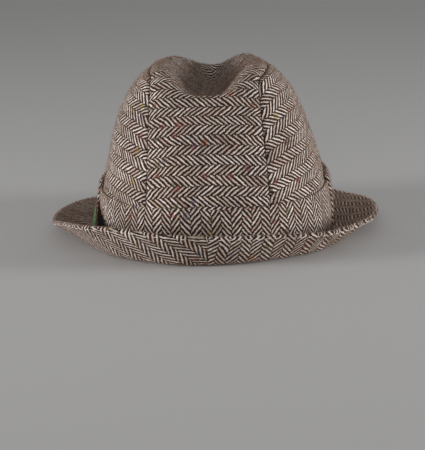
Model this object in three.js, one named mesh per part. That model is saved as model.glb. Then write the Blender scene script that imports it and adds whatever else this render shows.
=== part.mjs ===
import * as THREE from "three";

// A soft trilby of herringbone tweed, standing on its brim. Millimetres, +Z up.
// The front faces -Y, the back +Y, and the wearer's left is +X.

// Opening and crown
const headLength = 200; // inside the foot of the crown, front to back
const headWidth = 162; // the same, side to side
const widestPlace = 0.48; // share of headLength that lies behind the widest place
const crownHeight = 122.5; // foot of the crown to the top of its side ridges
const crownThickness = 2.2; // tweed with its interlining
const frontRise = 5; // how much the foot of the crown rises at the front
const backDip = 17; // how far the back rim sags below the side ridges
const frontDip = 13; // the same at the front rim
const pinchDepth = 6; // the two finger pinches at the front
const crownLean = 0.6; // degrees that the worn crown leans to the wearer's left

// Centre panel, from seam to seam, as shares of headWidth
const backPanelFoot = 0.568;
const backPanelTop = 0.506;
const frontPanelFoot = 0.519;
const frontPanelTop = 0.333;
const seamGap = 0.3; // between the cut edges of two panels, in mm

// Band
const bandHeight = 32.5;
const bandThickness = 1.6; // single ply round the back
const foldHeight = 37.5; // the folded front stretch stands a little higher
const foldThickness = 3.2;
const bandEnd = 86; // degrees from the back to where the folded stretch begins
const seatGap = 0.4; // between pieces that lie on each other

// Brim
const brimWidth = 42;
const brimLift = 65; // degrees that the back of the brim is turned up
const brimTurn = 14; // width over which it turns up
const brimLedge = 1.2; // flat ring left outside the band
const plyThickness = 1.5;

// Feathers
const featherThickness = 0.8;
const featherFoot = 4; // height of the quill ends above the foot of the crown
const featherStep = featherThickness + seatGap; // from one layer of the mount to the next

// The crown's loops from its foot over the side ridges down to the floor of the dent.
// rise: share of crownHeight. side, back, front: shares of the half sizes of the foot.
// backSquare, frontSquare: 2 is an ellipse, more is squarer. dip: share of both rim dips.
const crownLoops = [
  { rise: 0.0, side: 1.0, back: 1.0, front: 1.0, backSquare: 2.1, frontSquare: 2.1, dip: 0 },
  { rise: 0.17, side: 0.995, back: 0.993, front: 0.995, backSquare: 2.1, frontSquare: 2.1, dip: 0 },
  { rise: 0.34, side: 0.955, back: 0.95, front: 0.965, backSquare: 2.1, frontSquare: 2.1, dip: 0 },
  { rise: 0.51, side: 0.895, back: 0.88, front: 0.92, backSquare: 2.15, frontSquare: 2.05, dip: 0.05 },
  { rise: 0.67, side: 0.82, back: 0.8, front: 0.86, backSquare: 2.25, frontSquare: 2.0, dip: 0.2 },
  { rise: 0.81, side: 0.725, back: 0.72, front: 0.79, backSquare: 2.45, frontSquare: 1.95, dip: 0.5 },
  { rise: 0.91, side: 0.62, back: 0.665, front: 0.73, backSquare: 2.75, frontSquare: 1.9, dip: 0.8 },
  { rise: 0.97, side: 0.52, back: 0.635, front: 0.685, backSquare: 3.0, frontSquare: 1.9, dip: 0.95 },
  { rise: 1.0, side: 0.42, back: 0.6, front: 0.645, backSquare: 3.0, frontSquare: 1.85, dip: 1.0 },
  { rise: 0.97, side: 0.31, back: 0.55, front: 0.59, backSquare: 2.8, frontSquare: 1.85, dip: 0.85 },
  { rise: 0.89, side: 0.19, back: 0.49, front: 0.53, backSquare: 2.5, frontSquare: 1.9, dip: 0.45 },
  { rise: 0.83, side: 0.08, back: 0.42, front: 0.47, backSquare: 2.2, frontSquare: 2.0, dip: 0.1 },
  { rise: 0.815, side: 0.0, back: 0.36, front: 0.42, backSquare: 2.0, frontSquare: 2.0, dip: 0 },
];
const seamLoop = 7; // the row that the side seams follow along the ridges

// The brim, worn unevenly: the wearer's right is flatter behind than the left.
// place: degrees from the back round by the wearer's left. width: share of brimWidth.
// lift: share of brimLift.
const brimSections = [
  { place: 0, width: 0.957, lift: 0.925 },
  { place: 45, width: 1.115, lift: 0.74 },
  { place: 90, width: 0.997, lift: 0.395 },
  { place: 135, width: 1.08, lift: 0.015 },
  { place: 180, width: 1.06, lift: -0.12 },
  { place: 225, width: 1.08, lift: 0.015 },
  { place: 270, width: 0.976, lift: 0.365 },
  { place: 315, width: 0.964, lift: 0.63 },
];

// Feathers on the wearer's left. place: degrees from the back. layer: 0 lies on the band.
// length, width: shares of bandHeight. swing: degrees that the tip turns to the front.
const feathers = [
  { name: "feather_black", place: 66, layer: 0, length: 0.66, width: 0.85, swing: 13, colour: 0x15130f },
  { name: "feather_red", place: 73, layer: 1, length: 0.69, width: 0.25, swing: 5, colour: 0x9c2b2b },
  { name: "feather_green", place: 73, layer: 2, length: 0.61, width: 0.42, swing: 4, colour: 0x4c6a38 },
];

const halfWidth = headWidth / 2 + crownThickness;
const backHalf = headLength * widestPlace + crownThickness;
const frontHalf = headLength * (1 - widestPlace) + crownThickness;
const brimTop = 2 * plyThickness + seamGap;
const crownFoot = brimTop + seamGap;
const foldOffset = seatGap + foldThickness;
const brimFlat = crownThickness + foldOffset + brimLedge;
const topLoop = crownLoops.length - 1;

function mix(a, b, share) {
  return a + (b - a) * share;
}

function smooth(share) {
  const s = Math.min(1, Math.max(0, share));
  return s * s * (3 - 2 * s);
}

// A raised cosine: 1 in the middle, 0 from reach outwards.
function swell(distance, reach) {
  return Math.abs(distance) < reach ? 0.5 + 0.5 * Math.cos((Math.PI * distance) / reach) : 0;
}

// One row between the rows of a table, on a Catmull-Rom curve through them.
function rowAt(rows, place) {
  const at = Math.min(rows.length - 1.000001, Math.max(0, place));
  const i = Math.floor(at);
  const s = at - i;
  const before = rows[Math.max(0, i - 1)];
  const after = rows[Math.min(rows.length - 1, i + 2)];
  const row = {};
  for (const key of Object.keys(rows[i])) {
    const [a, b, c, d] = [before[key], rows[i][key], rows[i + 1][key], after[key]];
    row[key] = b + 0.5 * s * (c - a + s * (2 * a - 5 * b + 4 * c - d + s * (3 * (b - c) + d - a)));
  }
  return row;
}

// Degrees to radians, and how far the foot rises at an angle from the back.
const rad = THREE.MathUtils.degToRad;
const riseStart = rad(95);
function footRise(angle) {
  return frontRise * smooth((Math.abs(angle) - riseStart) / (Math.PI - riseStart));
}

// Reach of the rim dips and place of the pinches, as angles of the loops.
const backDipReach = rad(80);
const frontDipReach = rad(62);
const pinchPlace = rad(132);
const pinchReach = rad(34);
const pinchRow = 6.2;
const pinchRows = 3.4;

// Outer surface of the crown. angle: 0 at the back, +90 degrees at the wearer's left.
function crownPoint(angle, loop) {
  const row = rowAt(crownLoops, loop);
  const side = Math.sin(angle);
  const back = Math.cos(angle);
  const square = back >= 0 ? row.backSquare : row.frontSquare;
  const reach = back >= 0 ? backHalf * row.back : frontHalf * row.front;
  const x = Math.sign(side) * halfWidth * Math.max(0, row.side) * Math.abs(side) ** (2 / square);
  const y = Math.sign(back) * reach * Math.abs(back) ** (2 / square);
  const turn = Math.abs(Math.atan2(side, back));
  const dip = backDip * swell(turn, backDipReach) + frontDip * swell(Math.PI - turn, frontDipReach);
  const z = crownFoot + crownHeight * row.rise - row.dip * dip + footRise(turn) * (1 - row.rise);
  const pinch = pinchDepth * swell(turn - pinchPlace, pinchReach) * swell(loop - pinchRow, pinchRows);
  const length = Math.hypot(x, y) || 1;
  const lean = Math.tan(rad(crownLean)) * crownHeight * row.rise;
  return new THREE.Vector3(x - (pinch * x) / length + lean, y - (pinch * y) / length, z);
}

// Outward unit normal of a surface given as point(a, b), with da x db pointing out.
function normalOf(point, a, b) {
  const step = 1e-3;
  const across = point(a + step, b).sub(point(a - step, b));
  const along = point(a, b + step).sub(point(a, b - step));
  return across.cross(along).normalize();
}

function crownNormal(angle, loop) {
  const inside = Math.min(topLoop - 0.02, Math.max(0.02, loop));
  const normal = normalOf((a, b) => crownPoint(-a, b), -angle, inside);
  if (loop === 0) normal.setZ(0).normalize();
  return normal;
}

// Half of the centre panel's width at a loop, at the back or the front.
function seamHalf(foot, top, loop) {
  const share = rowAt(crownLoops, Math.min(loop, seamLoop)).rise / crownLoops[seamLoop].rise;
  return (headWidth * mix(foot, top, share)) / 2;
}

function backShare(loop, clear) {
  const at = Math.min(loop, seamLoop);
  return (seamHalf(backPanelFoot, backPanelTop, at) + clear) / (halfWidth * rowAt(crownLoops, at).side);
}

function frontShare(loop, clear) {
  const at = Math.min(loop, seamLoop);
  return (seamHalf(frontPanelFoot, frontPanelTop, at) + clear) / (halfWidth * rowAt(crownLoops, at).side);
}

// Angle of the place on a loop that lies at a share of its half width.
function angleAcross(share, square) {
  return Math.sign(share) * Math.asin(Math.min(1, Math.abs(share) ** (square / 2)));
}

// Angle from the back of a place in a stretch of a loop.
const stretches = {
  back: (loop, s, clear) =>
    angleAcross((2 * s - 1) * backShare(loop, clear), rowAt(crownLoops, loop).backSquare),
  front: (loop, s, clear) =>
    Math.PI + angleAcross((2 * s - 1) * frontShare(loop, clear), rowAt(crownLoops, loop).frontSquare),
  left: (loop, s, clear) => sideAngle(loop, s, clear),
  right: (loop, s, clear) => 2 * Math.PI - sideAngle(loop, 1 - s, clear),
};

// A side stretch is stepped evenly from back to front.
function sideAngle(loop, s, clear) {
  const row = rowAt(crownLoops, loop);
  const from = (1 - backShare(loop, clear) ** row.backSquare) ** (1 / row.backSquare) * backHalf * row.back;
  const to = (1 - frontShare(loop, clear) ** row.frontSquare) ** (1 / row.frontSquare) * frontHalf * row.front;
  const y = mix(from, -to, s);
  const share = y >= 0 ? y / (backHalf * row.back) : y / (frontHalf * row.front);
  const square = y >= 0 ? row.backSquare : row.frontSquare;
  return Math.acos(Math.sign(share) * Math.min(1, Math.abs(share)) ** (square / 2));
}

// A surface of welded points with a normal at each, and its triangles seen from outside.
class Sheet {
  constructor() {
    this.places = new Map();
    this.points = [];
    this.normals = [];
    this.triangles = [];
  }

  add(point, normal) {
    const key = point.toArray().map((v) => Math.round(v * 500)).join();
    if (this.places.has(key)) {
      this.normals[this.places.get(key)].add(normal);
      return this.places.get(key);
    }
    this.places.set(key, this.points.length);
    this.points.push(point);
    this.normals.push(normal.clone());
    return this.points.length - 1;
  }

  // rows[j][i] are point numbers; i runs to the left seen from outside, j upwards.
  grid(rows) {
    for (let j = 0; j + 1 < rows.length; j++) {
      for (let i = 0; i + 1 < rows[j].length; i++) {
        const [a, b, c, d] = [rows[j][i], rows[j][i + 1], rows[j + 1][i + 1], rows[j + 1][i]];
        this.face(b, a, d);
        this.face(b, d, c);
      }
    }
  }

  face(a, b, c) {
    if (a !== b && b !== c && c !== a) this.triangles.push([a, b, c]);
  }

  // A closed wall: the sheet, its copy moved inwards, and the edges between them.
  thicken(thickness) {
    const inner = this.points.map((p, i) => p.clone().addScaledVector(this.normals[i].normalize(), -thickness));
    const count = this.points.length;
    const faces = [...this.triangles];
    const edges = new Set();
    for (const [a, b, c] of this.triangles) {
      faces.push([c + count, b + count, a + count]);
      for (const [from, to] of [[a, b], [b, c], [c, a]]) edges.add(`${from},${to}`);
    }
    for (const edge of edges) {
      const [from, to] = edge.split(",").map(Number);
      if (edges.has(`${to},${from}`)) continue;
      faces.push([to, from, from + count], [to, from + count, to + count]);
    }
    return geometryOf([...this.points, ...inner], faces);
  }
}

function geometryOf(points, faces) {
  const geometry = new THREE.BufferGeometry();
  geometry.setAttribute("position", new THREE.Float32BufferAttribute(points.flatMap((p) => p.toArray()), 3));
  geometry.setIndex(faces.flat());
  geometry.computeVertexNormals();
  return geometry;
}

function meshOf(name, geometry, colour, roughness = 0.9) {
  const material = new THREE.MeshStandardMaterial({ color: colour, roughness, metalness: 0 });
  const mesh = new THREE.Mesh(geometry, material);
  mesh.name = name;
  return mesh;
}

const shares = (count) => Array.from({ length: count + 1 }, (_, i) => i / count);

// Rows of welded crown points: for each loop, the angle at each share.
function crownRows(sheet, loops, columns, angleAt) {
  return loops.map((loop) =>
    columns.map((s) => {
      const [angle, at] = angleAt(s, loop);
      return sheet.add(crownPoint(angle, at), crownNormal(angle, at));
    }),
  );
}

// How much of a loop step half a seam gap is, at an angle of the seam loop.
function seamStep(angle) {
  const pace = crownPoint(angle, seamLoop + 0.05).distanceTo(crownPoint(angle, seamLoop - 0.05)) / 0.1;
  return seamGap / 2 / pace;
}

const wallRows = 11;
const panelColumns = 10;
const sideColumns = 15;
const dentRows = 7;
const bandRows = 4;

function sidePanel(side) {
  const sheet = new Sheet();
  const rows = crownRows(sheet, shares(wallRows), shares(sideColumns), (s, share) => {
    const angle = stretches[side](seamLoop, s, seamGap / 2);
    const loop = share * (seamLoop - seamStep(angle));
    return [stretches[side](loop, s, seamGap / 2), loop];
  });
  sheet.grid(rows);
  return sheet.thicken(crownThickness);
}

// The strip up the back, over the top with its dent, and down the front.
function centrePanel() {
  const sheet = new Sheet();
  for (const end of ["back", "front"]) {
    const loops = shares(wallRows).map((s) => s * seamLoop);
    const wall = (s, loop) => [stretches[end](loop, s, -seamGap / 2), loop];
    sheet.grid(crownRows(sheet, loops, shares(panelColumns), wall));
  }
  for (const stretch of ["back", "left", "front", "right"]) {
    const beside = stretch === "left" || stretch === "right";
    const columns = shares(beside ? sideColumns : panelColumns);
    const top = (s, share) => {
      const edge = stretches[stretch](seamLoop, s, -seamGap / 2);
      const inset = beside && s > 0 && s < 1 ? seamStep(edge) : 0;
      const loop = mix(seamLoop + inset, topLoop, share);
      return [stretches[stretch](loop, s, -seamGap / 2), loop];
    };
    sheet.grid(crownRows(sheet, shares(dentRows), columns, top));
  }
  return sheet.thicken(crownThickness);
}

// Loop number at a height above the crown's foot.
function loopAtHeight(height) {
  let loop = 0;
  while (rowAt(crownLoops, loop).rise * crownHeight < height) loop += 0.01;
  return loop;
}

// A stretch of band wrapped on the crown: its section swept from one angle to another.
function wrap(from, to, height, thickness, steps) {
  const high = loopAtHeight(height);
  const outside = seatGap + thickness;
  const bevel = 0.96 * high;
  const section = [
    ...shares(bandRows).map((s) => [seatGap, s * high]),
    [mix(seatGap, outside, 0.75), high],
    ...shares(bandRows).map((s) => [outside, (1 - s) * bevel]),
  ];
  const points = [];
  const faces = [];
  for (const s of shares(steps)) {
    const angle = mix(from, to, s);
    for (const [away, loop] of section) {
      points.push(crownPoint(angle, loop).addScaledVector(crownNormal(angle, loop), away));
    }
  }
  const size = section.length;
  for (let k = 0; k < steps; k++) {
    for (let i = 0; i < size; i++) {
      const [a, b] = [k * size + i, k * size + ((i + 1) % size)];
      faces.push([a, b + size, b], [a, a + size, b + size]);
    }
  }
  const last = steps * size;
  for (let i = 0; i < bandRows; i++) {
    const [a, b, c, d] = [i, i + 1, size - 2 - i, size - 1 - i];
    faces.push([a, b, c], [a, c, d], [last + a, last + c, last + b], [last + a, last + d, last + c]);
  }
  const [a, b, c] = [bandRows, bandRows + 1, bandRows + 2];
  faces.push([a, b, c], [last + a, last + c, last + b]);
  return geometryOf(points, faces);
}

// Foot of the crown in plan, at its inner face.
function openingPoint(angle) {
  const normal = crownNormal(angle, 0);
  return [crownPoint(angle, 0).addScaledVector(normal, -crownThickness), normal];
}

const turnSteps = 24;

// The brim's rows with the ring closed at both ends.
const brimRing = [brimSections.at(-1), ...brimSections, brimSections[0], brimSections[1]];

// Underside of the brim. share: 0 at the opening, 1 at the edge.
function brimPoint(angle, share) {
  const turned = Math.abs(Math.atan2(Math.sin(angle), Math.cos(angle)));
  const round = THREE.MathUtils.euclideanModulo(angle / (2 * Math.PI), 1);
  const row = rowAt(brimRing, 1 + round * brimSections.length);
  const width = share * brimWidth * row.width;
  let [reach, height] = [Math.min(width, brimFlat), 0];
  const pace = Math.max(0, width - brimFlat) / turnSteps;
  for (let k = 0; k < turnSteps; k++) {
    const slope = rad(brimLift * row.lift) * smooth(((k + 0.5) * pace) / brimTurn);
    reach += pace * Math.cos(slope);
    height += pace * Math.sin(slope);
  }
  const [edge, outward] = openingPoint(angle);
  const point = edge.addScaledVector(outward, reach);
  return point.setZ(Math.max(0, footRise(turned) + height));
}

const brimColumns = 60;
const brimShares = [0, 0.1, 0.2, 0.33, 0.46, 0.6, 0.8, 1];

// One ply of the brim, its lower face raised off the underside.
function brimPly(raise) {
  const sheet = new Sheet();
  const rows = brimShares.map((share) =>
    shares(brimColumns).map((s) => {
      const angle = 2 * Math.PI * s;
      const near = Math.min(1 - 2e-3, Math.max(2e-3, share));
      const down = normalOf((a, b) => brimPoint(-a, b), -angle, near);
      if (share * brimWidth < brimFlat) down.set(0, 0, -1);
      return sheet.add(brimPoint(angle, share).addScaledVector(down, -raise), down);
    }),
  );
  sheet.grid(rows);
  return sheet.thicken(plyThickness);
}

// Half width of a feather along its length, as a share of its full width.
const featherOutline = [
  { along: 0.0, half: 0.12 },
  { along: 0.08, half: 0.36 },
  { along: 0.22, half: 0.5 },
  { along: 0.45, half: 0.46 },
  { along: 0.7, half: 0.3 },
  { along: 0.88, half: 0.15 },
  { along: 1.0, half: 0.04 },
];

// A flat leaf that follows the wall of the band, its quill end down.
function feather({ place, layer, length, width, swing }) {
  const sheet = new Sheet();
  const away = seatGap + bandThickness + (layer + 1) * featherStep;
  const rows = featherOutline.map(({ along, half }) =>
    [-1, -0.5, 0, 0.5, 1].map((side) => {
      const loop = loopAtHeight(featherFoot + along * length * bandHeight);
      const middle = rad(place + swing * along);
      const angle = middle + (side * half * width * bandHeight) / halfWidth;
      const out = crownNormal(angle, loop);
      return sheet.add(crownPoint(angle, loop).addScaledVector(out, away), out);
    }),
  );
  sheet.grid(rows);
  return sheet.thicken(featherThickness);
}

// The origin is the middle of the footprint, on the surface that the hat rests on.
function centreOnFootprint(parts) {
  const box = new THREE.Box3().setFromObject(parts);
  const middle = box.getCenter(new THREE.Vector3());
  parts.position.set(-middle.x, -middle.y, -box.min.z);
}

const tweed = 0x72645c;
const fold = rad(bandEnd);
const endGap = seatGap / halfWidth;
const parts = new THREE.Group();
parts.add(meshOf("crown_centre_panel", centrePanel(), tweed));
parts.add(meshOf("crown_left_panel", sidePanel("left"), tweed));
parts.add(meshOf("crown_right_panel", sidePanel("right"), tweed));
parts.add(meshOf("band_back", wrap(-fold + endGap, fold - endGap, bandHeight, bandThickness, 36), tweed));
parts.add(meshOf("band_front", wrap(fold, 2 * Math.PI - fold, foldHeight, foldThickness, 40), tweed));
parts.add(meshOf("brim_under", brimPly(0), tweed));
parts.add(meshOf("brim_upper", brimPly(plyThickness + seamGap), tweed));
for (const row of feathers) {
  parts.add(meshOf(row.name, feather(row), row.colour, 0.5));
}
centreOnFootprint(parts);

const hat = new THREE.Group();
hat.add(parts);
export default hat;
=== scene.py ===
# A soft trilby of herringbone tweed, seen from behind. Metres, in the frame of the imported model:
# +Z up, the front faces -Y, the back +Y, and the wearer's left is +X.
import math

import bpy
import numpy as np
from mathutils import Matrix, Vector


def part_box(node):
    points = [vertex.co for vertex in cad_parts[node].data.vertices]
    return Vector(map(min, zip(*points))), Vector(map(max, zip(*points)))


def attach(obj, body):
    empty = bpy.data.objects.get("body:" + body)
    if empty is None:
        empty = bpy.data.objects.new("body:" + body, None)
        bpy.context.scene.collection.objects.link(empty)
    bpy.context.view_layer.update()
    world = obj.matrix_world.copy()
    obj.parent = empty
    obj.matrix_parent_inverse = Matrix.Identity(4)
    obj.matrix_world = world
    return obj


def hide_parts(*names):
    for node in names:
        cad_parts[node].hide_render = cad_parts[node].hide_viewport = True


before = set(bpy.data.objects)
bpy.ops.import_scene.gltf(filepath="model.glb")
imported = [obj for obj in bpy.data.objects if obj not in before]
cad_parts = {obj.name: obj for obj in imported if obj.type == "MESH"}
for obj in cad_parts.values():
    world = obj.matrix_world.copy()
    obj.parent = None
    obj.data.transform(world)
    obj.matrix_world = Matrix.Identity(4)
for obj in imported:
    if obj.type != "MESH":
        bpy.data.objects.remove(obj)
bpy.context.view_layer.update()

# Opening and crown
HEAD_LENGTH = 0.200
HEAD_WIDTH = 0.162
WIDEST_PLACE = 0.48  # share of HEAD_LENGTH behind the widest place
CROWN_HEIGHT = 0.1225
CROWN_THICKNESS = 0.0022
FRONT_RISE = 0.005
BACK_DIP = 0.017
FRONT_DIP = 0.013
PINCH_DEPTH = 0.006
CROWN_LEAN = math.radians(0.6)

# Centre panel, from seam to seam, as shares of HEAD_WIDTH
BACK_PANEL_FOOT = 0.568
BACK_PANEL_TOP = 0.506
RIGHT_PANEL_TOP = 0.462  # what BACK_PANEL_TOP would be by the right seam, which leans in
FRONT_PANEL_FOOT = 0.519
FRONT_PANEL_TOP = 0.333

# Band
BAND_HEIGHT = 0.0325
BAND_THICKNESS = 0.0016
FOLD_HEIGHT = 0.0375
FOLD_THICKNESS = 0.0032
BAND_END = math.radians(86)  # from the back to where the folded front stretch begins
SEAT_GAP = 0.0004

# Brim
BRIM_WIDTH = 0.042
BRIM_LIFT = math.radians(65)
BRIM_TURN = 0.014
BRIM_LEDGE = 0.0012
PLY_THICKNESS = 0.0015
PLY_GAP = 0.0003

# Cloth as worn: panels meet in sunken seams, and nothing is quite even.
SEAM_GAP = 0.00008
SEAM_DEPTH = 0.0013
SEAM_REACH = 0.0028
CROWN_SWAY = 0.0007
BRIM_SWAY = 0.0007

HALF_WIDTH = HEAD_WIDTH / 2 + CROWN_THICKNESS
BACK_HALF = HEAD_LENGTH * WIDEST_PLACE + CROWN_THICKNESS
FRONT_HALF = HEAD_LENGTH * (1 - WIDEST_PLACE) + CROWN_THICKNESS
BRIM_TOP = 2 * PLY_THICKNESS + PLY_GAP
CROWN_FOOT = BRIM_TOP + PLY_GAP
BRIM_FLAT = CROWN_THICKNESS + SEAT_GAP + FOLD_THICKNESS + BRIM_LEDGE
CROWN_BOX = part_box("crown_centre_panel")
# The frame's origin is the middle of the footprint.
SHIFT_X = (CROWN_BOX[0][0] + CROWN_BOX[1][0]) / 2
SHIFT_Y = CROWN_BOX[1][1] - BACK_HALF


class Table:
    """Rows with named columns, read between the rows on a Catmull-Rom curve."""

    def __init__(self, columns, rows):
        self.columns = columns
        self.rows = np.array(rows, float)
        self.last = len(rows) - 1

    def at(self, place):
        # Just short of the last row, so that there always is a following one.
        place = np.clip(place, 0, self.last - 1e-6)
        i = np.floor(place).astype(int)
        s = np.asarray(place - i)[..., None]
        before = self.rows[np.maximum(0, i - 1)]
        here = self.rows[i]
        following = self.rows[i + 1]
        after = self.rows[np.minimum(self.last, i + 2)]
        bend = 3 * (here - following) + after - before
        slope = 2 * before - 5 * here + 4 * following - after + s * bend
        values = here + 0.5 * s * (following - before + s * slope)
        return dict(zip(self.columns, np.moveaxis(values, -1, 0)))


# The crown's loops from its foot over the side ridges down to the floor of the dent.
CROWN_LOOPS = Table(("rise", "side", "back", "front", "back_square", "front_square", "dip"), [
    (0.0, 1.0, 1.0, 1.0, 2.1, 2.1, 0),
    (0.17, 0.995, 0.993, 0.995, 2.1, 2.1, 0),
    (0.34, 0.955, 0.95, 0.965, 2.1, 2.1, 0),
    (0.51, 0.895, 0.88, 0.92, 2.15, 2.05, 0.05),
    (0.67, 0.82, 0.8, 0.86, 2.25, 2.0, 0.2),
    (0.81, 0.725, 0.72, 0.79, 2.45, 1.95, 0.5),
    (0.91, 0.62, 0.665, 0.73, 2.75, 1.9, 0.8),
    (0.97, 0.52, 0.635, 0.685, 3.0, 1.9, 0.95),
    (1.0, 0.42, 0.6, 0.645, 3.0, 1.85, 1.0),
    (0.97, 0.31, 0.55, 0.59, 2.8, 1.85, 0.85),
    (0.89, 0.19, 0.49, 0.53, 2.5, 1.9, 0.45),
    (0.83, 0.08, 0.42, 0.47, 2.2, 2.0, 0.1),
    (0.815, 0.0, 0.36, 0.42, 2.0, 2.0, 0),
])
SEAM_LOOP = 7  # the row that the seams follow along the ridges
TOP_LOOP = CROWN_LOOPS.last

# The brim, every 45 degrees from the back round by the wearer's left, worn unevenly: its width and
# how far it is turned up, as shares of BRIM_WIDTH and BRIM_LIFT.
BRIM_SECTIONS = [
    (0.957, 0.925), (1.115, 0.74), (0.997, 0.395), (1.08, 0.015),
    (1.06, -0.12), (1.08, 0.015), (0.976, 0.365), (0.964, 0.63),
]
BRIM_RING = Table(("width", "lift"), [BRIM_SECTIONS[-1], *BRIM_SECTIONS, *BRIM_SECTIONS[:2]])

# Angles from the back, and how far round the dips and pinches reach
RISE_START = math.radians(95)
BACK_DIP_REACH = math.radians(80)
FRONT_DIP_REACH = math.radians(62)
PINCH_PLACE = math.radians(132)
PINCH_REACH = math.radians(34)
PINCH_ROW = 6.2  # of CROWN_LOOPS, where the pinches are deepest
PINCH_ROWS = 3.4  # how many rows above and below that they reach


def mix(a, b, share):
    return a + (b - a) * share


def smooth(share):
    s = np.clip(share, 0, 1)
    return s * s * (3 - 2 * s)


def swell(distance, reach):
    """A raised cosine: 1 in the middle, 0 from reach outwards."""
    return np.where(np.abs(distance) < reach, 0.5 + 0.5 * np.cos(np.pi * distance / reach), 0)


def unit(vectors):
    return vectors / np.maximum(np.linalg.norm(vectors, axis=-1, keepdims=True), 1e-12)


def foot_rise(turn):
    return FRONT_RISE * smooth((turn - RISE_START) / (np.pi - RISE_START))


def crown_point(angle, loop):
    """Outer surface of the crown. angle: 0 at the back, +90 degrees at the wearer's left."""
    row = CROWN_LOOPS.at(loop)
    side, back = np.sin(angle), np.cos(angle)
    square = np.where(back >= 0, row["back_square"], row["front_square"])
    reach = np.where(back >= 0, BACK_HALF * row["back"], FRONT_HALF * row["front"])
    x = np.sign(side) * HALF_WIDTH * np.maximum(0, row["side"]) * np.abs(side) ** (2 / square)
    y = np.sign(back) * reach * np.abs(back) ** (2 / square)
    turn = np.abs(np.arctan2(side, back))
    dip = BACK_DIP * swell(turn, BACK_DIP_REACH) + FRONT_DIP * swell(np.pi - turn, FRONT_DIP_REACH)
    z = CROWN_FOOT + CROWN_HEIGHT * row["rise"] - row["dip"] * dip
    z = z + foot_rise(turn) * (1 - row["rise"])
    pinch = PINCH_DEPTH * swell(turn - PINCH_PLACE, PINCH_REACH) * swell(loop - PINCH_ROW, PINCH_ROWS)
    inward = pinch / np.maximum(np.hypot(x, y), 1e-9)
    lean = math.tan(CROWN_LEAN) * CROWN_HEIGHT * row["rise"]
    return np.stack([x * (1 - inward) + lean + SHIFT_X, y * (1 - inward) + SHIFT_Y, z], -1)


def crown_normal(angle, loop):
    step = 1e-3
    margin = 0.02
    loop = np.clip(loop, margin, TOP_LOOP - margin)
    across = crown_point(angle + step, loop) - crown_point(angle - step, loop)
    upwards = crown_point(angle, loop + step) - crown_point(angle, loop - step)
    return unit(np.cross(upwards, across))


# Stretches of the crown's loops, each as the angle at a share s from its first to its last end.
def across_share(foot, top, loop, clear):
    """Half the width of a stretch of the centre panel, as a share of its loop's half width."""
    row = CROWN_LOOPS.at(np.minimum(loop, SEAM_LOOP))
    share = row["rise"] / CROWN_LOOPS.at(SEAM_LOOP)["rise"]
    return (HEAD_WIDTH * mix(foot, top, share) / 2 + clear) / (HALF_WIDTH * row["side"])


def angle_across(share, square):
    """The angle from the middle of a rounded square to a share of its half width."""
    return np.sign(share) * np.arcsin(np.minimum(1, np.abs(share) ** (square / 2)))


def back_angle(loop, s, clear):
    left = across_share(BACK_PANEL_FOOT, BACK_PANEL_TOP, loop, clear)
    right = across_share(BACK_PANEL_FOOT, RIGHT_PANEL_TOP, loop, clear)
    return angle_across(mix(-right, left, s), CROWN_LOOPS.at(loop)["back_square"])


def front_angle(loop, s, clear):
    half = across_share(FRONT_PANEL_FOOT, FRONT_PANEL_TOP, loop, clear)
    return np.pi + angle_across((2 * s - 1) * half, CROWN_LOOPS.at(loop)["front_square"])


def left_angle(loop, s, clear, panel_top=BACK_PANEL_TOP):
    row = CROWN_LOOPS.at(loop)
    behind, before = BACK_HALF * row["back"], FRONT_HALF * row["front"]
    back_part = across_share(BACK_PANEL_FOOT, panel_top, loop, clear) ** row["back_square"]
    front_part = across_share(FRONT_PANEL_FOOT, FRONT_PANEL_TOP, loop, clear) ** row["front_square"]
    start = (1 - back_part) ** (1 / row["back_square"]) * behind
    end = (1 - front_part) ** (1 / row["front_square"]) * before
    y = mix(start, -end, s)
    share = np.where(y >= 0, y / behind, y / before)
    square = np.where(y >= 0, row["back_square"], row["front_square"])
    return np.arccos(np.sign(share) * np.minimum(1, np.abs(share)) ** (square / 2))


def right_angle(loop, s, clear):
    return 2 * np.pi - left_angle(loop, 1 - s, clear, RIGHT_PANEL_TOP)


def seam_step(angle):
    """How much of a loop step half a seam gap is."""
    step = 0.05
    pace = crown_point(angle, SEAM_LOOP + step) - crown_point(angle, SEAM_LOOP - step)
    return SEAM_GAP / 2 / (np.linalg.norm(pace, axis=-1) / (2 * step))


def even(count):
    """Shares from 0 to 1 in so many equal steps."""
    return np.linspace(0, 1, count + 1)


# Grids of crown points. Rows run upwards, and columns to the left seen from outside.
def wall_grid(stretch, rows, columns, clear=-SEAM_GAP / 2):
    """From the foot to the ridges. clear: above 0 in the side panels, which end at the ridges."""
    s, share = np.meshgrid(even(columns), even(rows))
    inset = seam_step(stretch(SEAM_LOOP + 0 * s, s, clear)) * (clear > 0)
    loop = share * (SEAM_LOOP - inset)
    return crown_point(stretch(loop, s, clear), loop)


def top_grid(stretch, rows, columns):
    s, share = np.meshgrid(even(columns), even(rows))
    beside = stretch in (left_angle, right_angle)
    inset = seam_step(stretch(SEAM_LOOP + 0 * s, s, -SEAM_GAP / 2)) * (s > 0) * (s < 1) * beside
    loop = mix(SEAM_LOOP + inset, TOP_LOOP, share)
    return crown_point(stretch(loop, s, -SEAM_GAP / 2), loop)


# Rough cells of about 5 mm carry the cut of the cloth, and each is divided for the shown surface.
ROUGH_WALL_ROWS = 24
ROUGH_PANEL_COLUMNS = 18
ROUGH_SIDE_COLUMNS = 26
ROUGH_DENT_ROWS = 12
DIVISIONS = 4


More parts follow.
